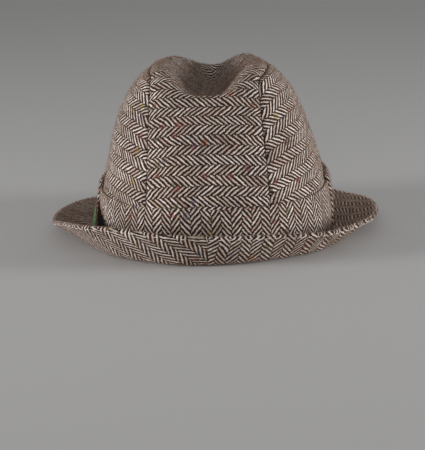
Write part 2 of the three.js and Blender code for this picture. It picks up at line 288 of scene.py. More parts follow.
def centre_grids(rough):
    wall_rows, columns = ROUGH_WALL_ROWS * rough, ROUGH_PANEL_COLUMNS * rough
    dent_rows, side_columns = ROUGH_DENT_ROWS * rough, ROUGH_SIDE_COLUMNS * rough
    grids = [wall_grid(stretch, wall_rows, columns) for stretch in (back_angle, front_angle)]
    for end, side in ((back_angle, left_angle), (front_angle, right_angle)):
        grids.append(top_grid(end, dent_rows, columns))
        grids.append(top_grid(side, dent_rows, side_columns))
    return grids


def left_grids(rough):
    columns = ROUGH_SIDE_COLUMNS * rough
    return [wall_grid(left_angle, ROUGH_WALL_ROWS * rough, columns, SEAM_GAP / 2)]


def right_grids(rough):
    columns = ROUGH_SIDE_COLUMNS * rough
    return [wall_grid(right_angle, ROUGH_WALL_ROWS * rough, columns, SEAM_GAP / 2)]


WELD_STEP = 1e-5  # points closer than this are one
RELAX_ROUNDS = 900
RELAX_PULL = 0.5  # share of an edge's error that each of its ends takes up
RELAX_CARRY = 0.9  # share of its speed that a point keeps from one round to the next
NEAR_BATCH = 20  # points of a line that are measured at a time
SWAY_WAVES = 7
SWAY_SPREAD = (0.6, 1.5)  # how much slower and quicker than usual the waves may be
CROWN_HUMPS = 0.045
CROWN_SEED = 11
SHARP_ANGLE = math.radians(50)


def weld(grids):
    """The points of grids that meet, each once, where they stand, and each grid place's number."""
    flat = np.concatenate([grid.reshape(-1, 3) for grid in grids])
    keys = np.round(flat / WELD_STEP).astype(np.int64)
    _, first, number = np.unique(keys, axis=0, return_index=True, return_inverse=True)
    ends = np.cumsum([grid[..., 0].size for grid in grids])
    parts = np.split(number.ravel(), ends[:-1])
    return flat[first], first, [part.reshape(grid.shape[:2]) for part, grid in zip(parts, grids)]


def grid_faces(numbers):
    """Two triangles for each cell of the grids, without those that a weld has closed up."""
    faces = []
    for grid in numbers:
        a, b, c, d = grid[:-1, :-1], grid[:-1, 1:], grid[1:, 1:], grid[1:, :-1]
        faces.append(np.stack([b, a, d], -1).reshape(-1, 3))
        faces.append(np.stack([b, d, c], -1).reshape(-1, 3))
    faces = np.concatenate(faces)
    apart = (faces != np.roll(faces, 1, axis=1)).all(1)
    return faces[apart]


def edges_of(faces):
    return np.concatenate([faces[:, [0, 1]], faces[:, [1, 2]], faces[:, [2, 0]]])


def normals_of(points, faces):
    """The way that the faces round each point look, larger faces counting more."""
    a, b, c = points[faces.T]
    leaning = np.cross(b - a, c - a)
    total = np.zeros_like(points)
    for k in range(3):
        np.add.at(total, faces[:, k], leaning)
    return unit(total)


def flattened(points, faces, start):
    """The places of a sheet's points in the flat cloth that it was cut from."""
    edges = np.unique(np.sort(edges_of(faces), axis=1), axis=0)
    a, b = edges.T
    rest = np.linalg.norm(points[b] - points[a], axis=1)
    share = 1 / np.bincount(edges.ravel(), minlength=len(points))
    flat = start.copy()
    speed = np.zeros_like(flat)
    for _ in range(RELAX_ROUNDS):
        gap = flat[b] - flat[a]
        excess = 1 - rest / np.maximum(np.linalg.norm(gap, axis=1), 1e-9)
        pull = gap * (RELAX_PULL * excess)[:, None]
        for k in range(2):
            move = np.bincount(a, pull[:, k], len(flat)) - np.bincount(b, pull[:, k], len(flat))
            speed[:, k] = RELAX_CARRY * speed[:, k] + move * share
        flat += speed
    return flat


def spread(values, count):
    """A grid's values at count times as many steps each way."""
    for axis in (0, 1):
        old = np.arange(values.shape[axis])
        new = np.linspace(0, old[-1], old[-1] * count + 1)
        low = np.minimum(new.astype(int), old[-1] - 1)
        share = (new - low).reshape([-1, 1, 1] if axis == 0 else [1, -1, 1])
        values = mix(np.take(values, low, axis), np.take(values, low + 1, axis), share)
    return values


def cut_of_panel(grids, start, level):
    """Cloth places for each rough grid. level: two (grid, row, column) that lie level in the cloth."""
    points, _, numbers = weld(grids)
    flat = flattened(points, grid_faces(numbers), start(points))
    here, there = (flat[numbers[g][row, column]] for g, row, column in level)
    along = there - here
    turn = -math.atan2(along[1], along[0])
    c, s = math.cos(turn), math.sin(turn)
    flat = (flat - here) @ np.array([[c, s], [-s, c]])
    return [flat[number] for number in numbers]


class Sheet:
    """A surface of welded grids with the cloth place of each point, ready to be thickened."""

    def __init__(self, grids, cloths):
        self.points, first, self.grids = weld(grids)
        self.cloth = np.concatenate([cloth.reshape(-1, 2) for cloth in cloths])[first]
        self.faces = grid_faces(self.grids)
        self.normals = normals_of(self.points, self.faces)
        self.groove = np.zeros(len(self.points))

    def push(self, distance):
        self.points = self.points + self.normals * np.asarray(distance).reshape(-1, 1)
        self.normals = normals_of(self.points, self.faces)

    def sink(self, line, reach, depth):
        near = nearness(self.points, line, reach)
        self.groove = np.maximum(self.groove, near)
        self.push(-depth * near)

    def wall(self, thickness, outward=None):
        """The sheet, its copy moved inwards, and the edges between them."""
        thickness = np.broadcast_to(thickness, len(self.points))[:, None]
        count = len(self.points)
        inner = self.points - (self.normals if outward is None else outward) * thickness
        start, end = edges_of(self.faces).T
        alone = ~np.isin(start * count + end, end * count + start)
        start, end = start[alone], end[alone]
        sides = np.concatenate([
            np.stack([end, start, start + count], -1),
            np.stack([end, start + count, end + count], -1),
        ])
        faces = np.concatenate([self.faces, self.faces[:, ::-1] + count, sides])
        points = np.concatenate([self.points, inner])
        return Solid(points, faces, np.tile(self.cloth, (2, 1)), np.tile(self.groove, 2))


class Solid:
    """A closed mesh: points, triangles, cloth places, groove depths and a material number per face."""

    def __init__(self, points, faces, cloth, groove=None, paint=0):
        self.points = points
        self.faces = faces
        self.cloth = cloth
        self.groove = np.zeros(len(points)) if groove is None else groove
        self.paint = np.full(len(faces), paint)

    def join(self, other):
        self.faces = np.concatenate([self.faces, other.faces + len(self.points)])
        for name in ("points", "cloth", "groove", "paint"):
            both = [getattr(self, name), getattr(other, name)]
            setattr(self, name, np.concatenate(both))
        return self


def nearness(points, line, reach):
    """1 on a line of points, falling smoothly to 0 at reach from it."""
    distance = np.full(len(points), np.inf)
    for start in range(0, len(line), NEAR_BATCH):
        gaps = points[:, None] - line[None, start : start + NEAR_BATCH]
        distance = np.minimum(distance, np.linalg.norm(gaps, axis=-1).min(1))
    return 1 - smooth(distance / reach)


def sway(points, size, seed):
    """Slow unevenness, mostly between -1 and 1, with humps of about size."""
    rng = np.random.default_rng(seed)
    total = np.zeros(points.shape[:-1])
    for _ in range(SWAY_WAVES):
        direction = unit(rng.normal(size=3)) * np.pi / size * rng.uniform(*SWAY_SPREAD)
        total += np.sin(points @ direction + rng.uniform(0, 2 * np.pi))
    return total / math.sqrt(SWAY_WAVES)


def crown_sway(points):
    return CROWN_SWAY * sway(points, CROWN_HUMPS, CROWN_SEED)


def add_object(name, data):
    made = bpy.data.objects.new(name, data)
    bpy.context.collection.objects.link(made)
    return made


def add_piece(name, solid, materials, node):
    """Makes the Blender object of a piece, which stands for a CAD node."""
    mesh = bpy.data.meshes.new(name)
    mesh.from_pydata(solid.points.tolist(), [], solid.faces.tolist())
    corners = np.empty(len(mesh.loops), int)
    mesh.loops.foreach_get("vertex_index", corners)
    layer = mesh.uv_layers.new(name="cloth")
    layer.uv.foreach_set("vector", solid.cloth[corners].astype(np.float32).ravel())
    groove = mesh.attributes.new("groove", "FLOAT", "POINT")
    groove.data.foreach_set("value", solid.groove.astype(np.float32))
    mesh.polygons.foreach_set("material_index", solid.paint.astype(np.int32))
    mesh.polygons.foreach_set("use_smooth", np.ones(len(mesh.polygons), bool))
    for material in materials:
        mesh.materials.append(material)
    mesh.update()
    mesh.set_sharp_from_angle(angle=SHARP_ANGLE)
    piece = add_object(name, mesh)
    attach(piece, "root")
    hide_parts(node)


# Materials
def srgb(red, green, blue):
    """A colour given as 0 to 255, as Blender's linear red, green, blue and opacity."""
    values = [v / 255 for v in (red, green, blue)]
    return [v / 12.92 if v <= 0.04045 else ((v + 0.055) / 1.055) ** 2.4 for v in values] + [1.0]


class Recipe:
    """The nodes of one material."""

    def __init__(self, name):
        self.material = bpy.data.materials.new(name)
        self.material.use_nodes = True
        self.nodes = self.material.node_tree.nodes
        self.links = self.material.node_tree.links
        self.shader = self.nodes["Principled BSDF"]

    def feed(self, socket, value):
        if isinstance(value, bpy.types.NodeSocket):
            self.links.new(value, socket)
        elif value is not None:
            socket.default_value = value

    def node(self, kind, *values, **settings):
        """A new node with its first sockets fed and its settings made."""
        node = self.nodes.new("ShaderNode" + kind)
        for name, setting in settings.items():
            setattr(node, name, setting)
        for socket, value in zip(node.inputs, values):
            self.feed(socket, value)
        return node

    def cloth(self):
        """The place in the flat cloth, in metres along and across the stripes."""
        return self.node("UVMap", uv_map="cloth").outputs[0]

    def math(self, operation, a, b=None, c=None):
        return self.node("Math", a, b, c, operation=operation).outputs[0]

    def vector(self, operation, a, b=None, scale=None):
        return self.node("VectorMath", a, b, None, scale, operation=operation).outputs[0]

    def split(self, vector):
        return self.node("SeparateXYZ", vector).outputs

    def noise(self, place, feature, detail=2.0, roughness=0.5):
        """Smooth noise with blots of about feature metres. Gives (value, colour)."""
        node = self.node("TexNoise", place)
        node.inputs["Scale"].default_value = 1 / feature
        node.inputs["Detail"].default_value = detail
        node.inputs["Roughness"].default_value = roughness
        return node.outputs[0], node.outputs[1]

    def scatter(self, place):
        """A random value and colour for each distinct place."""
        node = self.node("TexWhiteNoise", place, noise_dimensions="3D")
        return node.outputs["Value"], node.outputs["Color"]

    def cells(self, place, feature):
        """Distance from the middle of scattered cells, in cell sizes, and a colour for each."""
        node = self.node("TexVoronoi", place)
        node.inputs["Scale"].default_value = 1 / feature
        return node.outputs["Distance"], node.outputs["Color"]

    def ramp(self, value, low, high, start=0.0, end=1.0):
        given = (value, low, high, start, end)
        return self.node("MapRange", *given, interpolation_type="SMOOTHSTEP").outputs[0]

    def blend(self, share, a, b, kind="MIX"):
        node = self.node("Mix", share, data_type="RGBA", blend_type=kind)
        self.feed(node.inputs[6], a)
        self.feed(node.inputs[7], b)
        return node.outputs[2]

    def choice(self, value, colours):
        """One of several colours, each for an equal part of the values from 0 to 1."""
        node = self.node("ValToRGB", value)
        ramp = node.color_ramp
        ramp.interpolation = "CONSTANT"
        while len(ramp.elements) < len(colours):
            ramp.elements.new(1.0)
        for k, given in enumerate(colours):
            ramp.elements[k].position = k / len(colours)
            ramp.elements[k].color = given
        return node.outputs[0]

    def bump(self, height, distance, strength):
        node = self.node("Bump")
        node.inputs["Strength"].default_value = strength
        node.inputs["Distance"].default_value = distance
        self.feed(node.inputs["Height"], height)
        self.links.new(node.outputs[0], self.shader.inputs["Normal"])

    def finish(self, colour, **settings):
        self.feed(self.shader.inputs["Base Color"], colour)
        for name, value in settings.items():
            self.shader.inputs[name.replace("_", " ")].default_value = value
        return self.material


# Weave of the tweed
TWEED_SHADES = (  # light, pale, dark, black
    srgb(255, 243, 235), srgb(218, 198, 184), srgb(62, 37, 26), srgb(14, 6, 3),
)
STRIPE = 0.0072  # width of one stripe, half of a herringbone period
LINE_PITCH = 0.0041  # from one light line to the next along a stripe
LINE_SLOPE = math.radians(41)  # between the lines and the stripe
LINE_SHIFTS = STRIPE / math.tan(LINE_SLOPE) / LINE_PITCH
TAPER_REACH = 0.12  # share of a stripe at each of its sides where the lines grow thin
TAPER_DEPTH = 0.6
STROKE_EDGE = (-0.12, 0.62)  # from dark to light across a line's edge, of a wave from -1 to 1
SLOW_WANDER = (0.018, 1, 0.0032)  # feature, detail and reach of the lines' wandering
QUICK_WANDER = (0.0022, 2, 0.0011)
MOTTLE = (0.0011, 3, 0.65)  # feature, detail and roughness of a noise
FIBRES = (0.00035, 2, 0.6)
BLOTCHES = (0.0036, 3, 0.6)
CLOUDS = (0.03, 2)
TINTED_SHARE = 0.22  # of the light lines
TINT_STRENGTH = 0.24
STRAY_STRENGTH = 0.35  # of the dark fibres in the light yarn and the light ones in the dark
FLECK_SPACING = 0.0075
FLECK_SIZE = 0.36  # radius of the largest, in spacings
FLECKS_LEFT_OUT = 0.35
# Colour kept in the middle of a seam groove: painted shade in the sunken seams.
GROOVE_PAINTED_SHADE = 0.12
YARN_RELIEF = 0.0005
FLECK_COLOURS = [
    srgb(150, 46, 44), srgb(164, 88, 46), srgb(92, 100, 52), srgb(176, 144, 74),
    srgb(104, 104, 128), srgb(70, 92, 60), srgb(128, 74, 92), srgb(176, 104, 92),
]


def wander(r, place, feature, detail, reach):
    """A shift of the cloth place, up to about half of reach, with humps of about feature."""
    centred = r.vector("ADD", r.noise(place, feature, detail)[1], (-0.5, -0.5, -0.5))
    return r.vector("SCALE", centred, scale=reach)


def herringbone(r, place, rough):
    """The light strokes, 0 between them and 1 on them, and the number of each line and stripe."""
    along, across, _ = r.split(place)
    stripes = r.math("DIVIDE", across, STRIPE)
    stripe = r.math("FLOOR", stripes)
    zigzag = r.math("PINGPONG", stripes, 1.0)
    broken = r.math("MULTIPLY", r.math("FLOORED_MODULO", stripe, 2.0), 0.5)
    phase = r.math("MULTIPLY_ADD", zigzag, LINE_SHIFTS, r.math("DIVIDE", along, LINE_PITCH))
    phase = r.math("ADD", phase, broken)
    wave = r.math("COSINE", r.math("MULTIPLY", phase, 2 * math.pi))
    border = r.math("PINGPONG", stripes, 0.5)
    taper = r.ramp(border, 0.0, TAPER_REACH, TAPER_DEPTH, 0.0)
    stroke = r.ramp(r.math("SUBTRACT", r.math("ADD", wave, rough), taper), *STROKE_EDGE)
    line = r.math("FLOOR", r.math("ADD", phase, 0.5))
    return stroke, line, stripe


def yarns(r, line, stripe, mottle, fibre):
    """The light yarn, which changes its shade from line to line, and the dark yarn."""
    light, pale, dark, black = TWEED_SHADES
    own, own_colour = r.scatter(r.node("CombineXYZ", line, stripe).outputs[0])
    _, tint, rare = r.split(own_colour)
    light_yarn = r.blend(own, light, pale)
    tinted = r.math("MULTIPLY", r.math("GREATER_THAN", rare, 1 - TINTED_SHARE), TINT_STRENGTH)
    light_yarn = r.blend(tinted, light_yarn, r.choice(tint, FLECK_COLOURS))
    light_yarn = r.blend(r.ramp(fibre, 0.3, 0.75, 0.0, STRAY_STRENGTH), light_yarn, dark)
    dark_yarn = r.blend(r.ramp(mottle, 0.4, 0.6), black, dark)
    dark_yarn = r.blend(r.ramp(fibre, 0.55, 0.8, 0.0, STRAY_STRENGTH), dark_yarn, light)
    return light_yarn, dark_yarn


def with_flecks(r, colour, place, stroke):
    """Coloured flecks, which dye the light strokes more than the dark ground."""
    distance, cell = r.cells(place, FLECK_SPACING)
    which, kind, size = r.split(cell)
    close = r.math("LESS_THAN", distance, r.math("MULTIPLY", size, FLECK_SIZE))
    chosen = r.math("MULTIPLY", close, r.math("GREATER_THAN", which, FLECKS_LEFT_OUT))
    dyed = r.math("MULTIPLY", chosen, r.math("MULTIPLY_ADD", stroke, 0.5, 0.12))
    return r.blend(dyed, colour, r.choice(kind, FLECK_COLOURS))


def tweed(name, contrast):
    r = Recipe(name)
    place = r.cloth()
    slow, quick = wander(r, place, *SLOW_WANDER), wander(r, place, *QUICK_WANDER)
    mottle = r.noise(place, *MOTTLE)[0]
    fibre = r.noise(place, *FIBRES)[0]
    rough = r.math("MULTIPLY_ADD", mottle, 1.5, -0.75)
    wandered = r.vector("ADD", r.vector("ADD", place, slow), quick)
    stroke, line, stripe = herringbone(r, wandered, rough)
    light_yarn, dark_yarn = yarns(r, line, stripe, mottle, fibre)
    colour = r.blend(r.math("MULTIPLY", stroke, contrast), dark_yarn, light_yarn)
    colour = with_flecks(r, colour, r.vector("ADD", place, quick), stroke)

    cloudy = r.ramp(r.noise(place, *CLOUDS)[0], 0.3, 0.7, 0.88, 1.08)
    blotchy = r.ramp(r.noise(place, *BLOTCHES)[0], 0.35, 0.65, 0.78, 1.12)
    # Cloudy and blotchy tones vary at random; the darkening along the sunken seams is painted shade.
    groove = r.node("Attribute", attribute_name="groove").outputs["Fac"]
    for shade in (cloudy, blotchy, r.ramp(groove, 0.5, 0.95, 1.0, GROOVE_PAINTED_SHADE)):
        colour = r.blend(1.0, colour, shade, "MULTIPLY")

    height = r.math("ADD", stroke, r.math("MULTIPLY", mottle, 0.7))
    height = r.math("MULTIPLY_ADD", fibre, 0.35, height)
    r.bump(height, YARN_RELIEF, 0.85)
    return r.finish(colour, Roughness=0.92, Specular_IOR_Level=0.08, Sheen_Weight=0.15,
                    Sheen_Roughness=0.6, Sheen_Tint=srgb(206, 168, 140))


def plain(name, colour, **settings):
    return Recipe(name).finish(colour, **settings)


tweed_crown = tweed("tweed_crown", 1.0)
tweed_band = tweed("tweed_band", 1.0)
tweed_brim = tweed("tweed_brim", 0.95)
fuzz_fibre = plain("fuzz_fibre", srgb(162, 132, 110), Roughness=0.9, Specular_IOR_Level=0.1)
# Fibres for the centre panel, darker than the same cloth's fibres elsewhere: painted shade on its back
# wall and in the dent.
painted_shade_fibre = plain("painted_shade_fibre", srgb(122, 84, 58), Roughness=0.9, Specular_IOR_Level=0.1)
edge_thread = plain("edge_thread", srgb(228, 216, 206), Roughness=0.8)

# Fuzz: short loose fibres, each a thin closed spike that stands in the cloth.
FIBRE_WIDTH = 0.00007
FIBRE_ROOT = 0.0003  # how deep a fibre stands in the cloth
CROWN_FIBRE_LENGTH = 0.0028  # length of the longest on the crown
FIBRE_LENGTH = 0.0026  # the same on the band and the brim
FIBRE_LEAN = (0.3, 1.6)
FIBRE_LENGTHS = (0.4, 1.0)  # shares of the longest
FIBRE_SIDES = (0, 2.1, 4.2)  # angles of the three corners of its root
FEATHERS_FROM = math.radians(48)
FEATHERS_TO = math.radians(85)
FEATHERS_TOP = 0.032


def under_feathers(points):
    """Where the feathers lie on the band, and no loose fibre may stick through them."""
    turn = np.arctan2(points[:, 0] - SHIFT_X, points[:, 1] - SHIFT_Y)
    return (turn > FEATHERS_FROM) & (turn < FEATHERS_TO) & (points[:, 2] < FEATHERS_TOP)


def fuzz(sheet, count, length, seed):
    """Loose fibres strewn evenly over a sheet, up to so long."""
    rng = np.random.default_rng(seed)
    a, b, c = sheet.points[sheet.faces.T]
    areas = np.linalg.norm(np.cross(b - a, c - a), axis=1)
    chosen = sheet.faces[rng.choice(len(areas), count, p=areas / areas.sum())]
    weights = rng.dirichlet((1, 1, 1), count)

    def there(values):
        return np.einsum("ck,ckd->cd", weights, values[chosen])

    root, normal, cloth = there(sheet.points), unit(there(sheet.normals)), there(sheet.cloth)
    sideways = unit(np.cross(normal, rng.normal(size=(count, 3))))
    other = np.cross(normal, sideways)
    leaning = rng.uniform(*FIBRE_LEAN, (count, 1))
    direction = unit(normal + sideways * leaning)
    reach = length * rng.uniform(*FIBRE_LENGTHS, (count, 1)) ** 1.5
    base = root - normal * FIBRE_ROOT
    ring = [base + FIBRE_WIDTH * (sideways * math.cos(t) + other * math.sin(t)) for t in FIBRE_SIDES]
    tip = root + direction * reach
    kept = (tip[:, 2] > FIBRE_ROOT) & (base[:, 2] > FIBRE_WIDTH) & ~under_feathers(root)
    points = np.stack([*ring, tip], 1)[kept].reshape(-1, 3)
    cloth = cloth[kept]
    at = np.arange(kept.sum())[:, None] * 4
    faces = np.concatenate([at + np.array(f) for f in ((0, 1, 3), (1, 2, 3), (2, 0, 3), (2, 1, 0))])
    return Solid(points, faces, np.repeat(cloth, 4, axis=0), paint=1)


# Crown
SEAM_WALL_STEPS = 90
SEAM_RIDGE_STEPS = 120
RIM_BACK = 0.6  # share of BACK_HALF where the back wall turns into the top
RIM_FRONT = 0.65  # share of FRONT_HALF where the top turns into the front wall


def seam_line(back_end, front_end, stretch):
    """Points along the seam between the centre panel and a side panel."""
    rising = even(SEAM_WALL_STEPS) * SEAM_LOOP
    up = crown_point(back_angle(rising, back_end, 0), rising)
    down = crown_point(front_angle(rising, front_end, 0), rising)
    share = even(SEAM_RIDGE_STEPS)
    ridge = crown_point(stretch(SEAM_LOOP + 0 * share, share, 0), SEAM_LOOP)
    return np.concatenate([up, ridge, down])


left_seam = seam_line(1.0, 0.0, left_angle)
right_seam = seam_line(0.0, 1.0, right_angle)


def centre_start(points):
    """A rough guess at the flat centre panel: up the back, forwards over the top, down the front."""
    top = points[:, 2].max()
    behind = points[:, 1] - SHIFT_Y
    back_rim, front_rim = BACK_HALF * RIM_BACK, FRONT_HALF * RIM_FRONT
    forwards = back_rim - np.clip(behind, -front_rim, back_rim)
    drop = np.where(behind < 0, 1, -1) * (top - points[:, 2])
    beyond = np.abs(behind) > np.where(behind > 0, back_rim, front_rim)
    return np.stack([points[:, 0], top + forwards + drop * beyond], -1)


def side_start(points):
    return np.stack([points[:, 1] - SHIFT_Y, points[:, 2]], -1)


def panel_sheet(grids, start, level, offset):
    """A panel's worn face. offset: where the stripes start in its cloth."""
    cloths = cut_of_panel(grids(1), start, level)
    fine = [spread(cloth, DIVISIONS) + np.array(offset) for cloth in cloths]
    sheet = Sheet(grids(DIVISIONS), fine)
    sheet.push(crown_sway(sheet.points))
    for line in (left_seam, right_seam):
        sheet.sink(line, SEAM_REACH, SEAM_DEPTH)
    return sheet


PANEL_MIDDLE = ROUGH_PANEL_COLUMNS // 2
SIDE_MIDDLE = ROUGH_SIDE_COLUMNS // 2
WALL_MIDDLE = ROUGH_WALL_ROWS // 2
CENTRE_LEVEL = [(0, WALL_MIDDLE, PANEL_MIDDLE + k) for k in (-3, 3)]
SIDE_LEVEL = [(0, WALL_MIDDLE, SIDE_MIDDLE + k) for k in (-2, 2)]

# side, grids, start of the flat cut, level places, offset of the stripes, fibres, their material
crown_pieces = [
    # The centre panel's darker fibres are painted shade.
    ("centre", centre_grids, centre_start, CENTRE_LEVEL, (0.0, 0.002), 18000, painted_shade_fibre),
    ("left", left_grids, side_start, SIDE_LEVEL, (0.0, 0.0), 9000, fuzz_fibre),
    ("right", right_grids, side_start, SIDE_LEVEL, (0.0, 0.0), 9000, fuzz_fibre),
]
for seed, (side, grids, start, level, offset, fibres, fibre) in enumerate(crown_pieces):
    sheet = panel_sheet(grids, start, level, offset)
    solid = sheet.wall(CROWN_THICKNESS).join(fuzz(sheet, fibres, CROWN_FIBRE_LENGTH, seed))
    node = f"crown_{side}_panel"
    add_piece(f"tweed_{side}_panel", solid, [tweed_crown, fibre], node)


# Band
LOOP_STEPS = 600
ROUND_STEPS = 6
BAND_ROWS = 34
BAND_WAVE = 0.0005  # how much the top edge of the band wanders
BAND_WAVES = ((3.1, 0.8, 1.0), (7.3, 0.0, 0.6))  # waves round the hat in 2 pi, start, strength
BAND_GAP = SEAT_GAP / HALF_WIDTH
THIN_END = 0.02  # share of its thickness that the band keeps at its very end


def loop_at_height(height):
    """The place in CROWN_LOOPS at a height above the foot of the crown."""
    loops = np.linspace(0, SEAM_LOOP - 1, LOOP_STEPS)
    return np.interp(height, CROWN_LOOPS.at(loops)["rise"] * CROWN_HEIGHT, loops)


def on_crown(angle, loop, away):
    """A point that lies away from the crown's worn face."""
    base = crown_point(angle, loop)
    distance = np.asarray(away + crown_sway(base))
    return base + crown_normal(angle, loop) * distance[..., None]


def band_section(height, thickness):
    """Pairs (away, height) round the band's section: up its inner face, over the top and down."""
    half = thickness / 2
    inner = [(SEAT_GAP, h) for h in np.linspace(0, height - half, BAND_ROWS)]
    turns = np.linspace(np.pi, 0, ROUND_STEPS + 2)[1:-1]
    middle = SEAT_GAP + half
    over = [(middle + half * math.cos(t), height - half + half * math.sin(t)) for t in turns]
    outer = [(SEAT_GAP + thickness, h) for h in np.linspace(height - half, 0, BAND_ROWS)]
    return np.array(inner + over + outer)


def paces(points, axis):
    """Distances walked along one axis of a grid, at each of its steps."""
    steps = np.linalg.norm(np.diff(points, axis=axis), axis=-1).mean(1 - axis)
    return np.concatenate([[0], np.cumsum(steps)])


def band_surface(start, end, height, thickness, columns):
    """Points and cloth places of a stretch of band, rounded at its top and at both of its ends."""
    half = thickness / 2
    length = (end - start) * HALF_WIDTH
    rounding = half * (1 - np.cos(np.linspace(0, np.pi / 2, ROUND_STEPS + 1)))
    straight = np.linspace(half, length - half, columns)[1:-1]
    walked = np.concatenate([rounding, straight, length - rounding[::-1]])
    inset = np.minimum(walked, length - walked)
    full = np.sqrt(np.clip(1 - (1 - np.minimum(inset / half, 1)) ** 2, THIN_END**2, 1))
    away, high = band_section(height, thickness).T
    away = SEAT_GAP + half + (away[:, None] - SEAT_GAP - half) * full
    angle = mix(start, end, walked / length)[None, :] + 0 * away
    wave = BAND_WAVE * sum(size * np.sin(pace * angle + ahead) for pace, ahead, size in BAND_WAVES)
    loop = loop_at_height(high[:, None] + wave * (high[:, None] / height))
    points = on_crown(angle, loop, away)
    along = paces(points[-BAND_ROWS // 2 :], 1)
    cloth = np.stack(np.broadcast_arrays(-paces(points, 0)[:, None], along[None, :]), -1)
    return points, cloth


def fan(hub, ring):
    """Triangles from a hub point to each step of a ring."""
    return np.stack([np.full(len(ring) - 1, hub), ring[:-1], ring[1:]], -1)


def band_solid(*measures, fibres, seed):
    points, cloth = band_surface(*measures)
    numbers = np.arange(points.shape[0] * points.shape[1]).reshape(points.shape[:2])
    closed = np.vstack([numbers, numbers[:1]])
    caps = [fan(numbers.size, closed[:, 0]), fan(numbers.size + 1, closed[:, -1])[:, ::-1]]
    ends = np.stack([points[:, 0].mean(0), points[:, -1].mean(0)])
    solid = Solid(
        np.concatenate([points.reshape(-1, 3), ends]),
        np.concatenate([grid_faces([closed[:, ::-1]]), *caps]),
        np.concatenate([cloth.reshape(-1, 2), cloth[0, [0, -1]]]),
    )
    outside = Sheet([points[BAND_ROWS:, ::-1]], [cloth[BAND_ROWS:, ::-1]])
    return solid.join(fuzz(outside, fibres, FIBRE_LENGTH, seed))


# stretch, seed, start, end, height, thickness, columns
bands = [
    ("back", 41, -BAND_END + BAND_GAP, BAND_END - BAND_GAP, BAND_HEIGHT, BAND_THICKNESS, 190),
    ("front", 42, BAND_END, 2 * np.pi - BAND_END, FOLD_HEIGHT, FOLD_THICKNESS, 210),
]
for side, seed, *measures in bands:
    solid = band_solid(*measures, fibres=6000, seed=seed)
    add_piece(f"tweed_band_{side}", solid, [tweed_band, fuzz_fibre], f"band_{side}")


# Brim
TURN_STEPS = 24


def brim_point(angle, share):
    """Underside of the brim. share: 0 at the opening, 1 at the edge."""
    turned = np.abs(np.arctan2(np.sin(angle), np.cos(angle)))
    row = BRIM_RING.at(1 + np.mod(angle / (2 * np.pi), 1) * len(BRIM_SECTIONS))
    width = share * BRIM_WIDTH * row["width"]
    reach, height = np.minimum(width, BRIM_FLAT), 0 * width
    pace = np.maximum(0, width - BRIM_FLAT) / TURN_STEPS
    for k in range(TURN_STEPS):
        slope = BRIM_LIFT * row["lift"] * smooth((k + 0.5) * pace / BRIM_TURN)
        reach = reach + pace * np.cos(slope)
        height = height + pace * np.sin(slope)
    outward = crown_normal(angle, 0 * angle)
    outward[..., 2] = 0
    outward = unit(outward)
    point = crown_point(angle, 0 * angle) + outward * (reach - CROWN_THICKNESS)[..., None]
    point[..., 2] = np.maximum(0, foot_rise(turned) + height)
    return point, width


BRIM_COLUMNS = 420
BRIM_ROWS = 34
EDGE_ROWS = 8  # round the edge, of which the first is the last of BRIM_ROWS
BRIM_HUMPS = 0.04
BRIM_SEED = 51
SWAY_START = 0.012  # width over which the sway grows, from the flat ring outwards
BRIM_SEAM = 0.00004 / HALF_WIDTH  # half the gap of the centre back seam, as an angle
STACK = BRIM_TOP / 2  # half the thickness of both plies
CUT_ANGLE = math.radians(239)  # of the flat ring that the brim is cut as
GRAIN = math.radians(12)  # from the seam to the stripes, at its right seen from behind
STITCH_INSET = 0.002
STITCH_PITCH = 0.0064
STITCH_LENGTH = 0.0046
STITCH_WIDTH = 0.00032  # half of it
STITCH_RINGS = (-0.28, 0.28)  # shares of its length from its middle
STITCH_PULL = 0.00028  # how deep the row of stitches sinks into the cloth
THINNEST = PLY_GAP / 2 + 0.00005  # half the stack at the brim's very edge


def brim_ring():
    """The underside's points, cloth places and distance from the edge, on a grid."""
    rounding = STACK * (1 - np.cos(np.linspace(0, np.pi / 2, EDGE_ROWS))) / BRIM_WIDTH
    shares = np.concatenate([np.linspace(0, 1 - rounding[-1], BRIM_ROWS), 1 - rounding[-2::-1]])
    angles = np.linspace(BRIM_SEAM, 2 * np.pi - BRIM_SEAM, BRIM_COLUMNS + 1)
    angle, share = np.meshgrid(angles, shares)
    points, width = brim_point(angle, share)
    left = (1 - share) * width.max(0)
    foot = paces(points[:1], 1)
    turned = CUT_ANGLE * (1 - foot / foot[-1])
    over_edge = np.maximum(0, 1 - left / STACK)
    radius = foot[-1] / CUT_ANGLE + width + STACK * (np.arcsin(over_edge) - over_edge)
    x, y = radius * np.sin(turned), radius * np.cos(turned)
    c, s = math.cos(GRAIN), math.sin(GRAIN)
    cloth = np.stack([x * s + y * c, x * c - y * s], -1)
    lift = BRIM_SWAY * sway(points, BRIM_HUMPS, BRIM_SEED) * smooth((width - BRIM_FLAT) / SWAY_START)
    return points, cloth, left, lift


def outwards(points, faces):
    """The faces of a closed mesh, turned over if they face inwards."""
    a, b, c = points[faces.T] - points.mean(0)
    return faces if np.einsum("ij,ij->", a, np.cross(b, c)) > 0 else faces[:, ::-1]


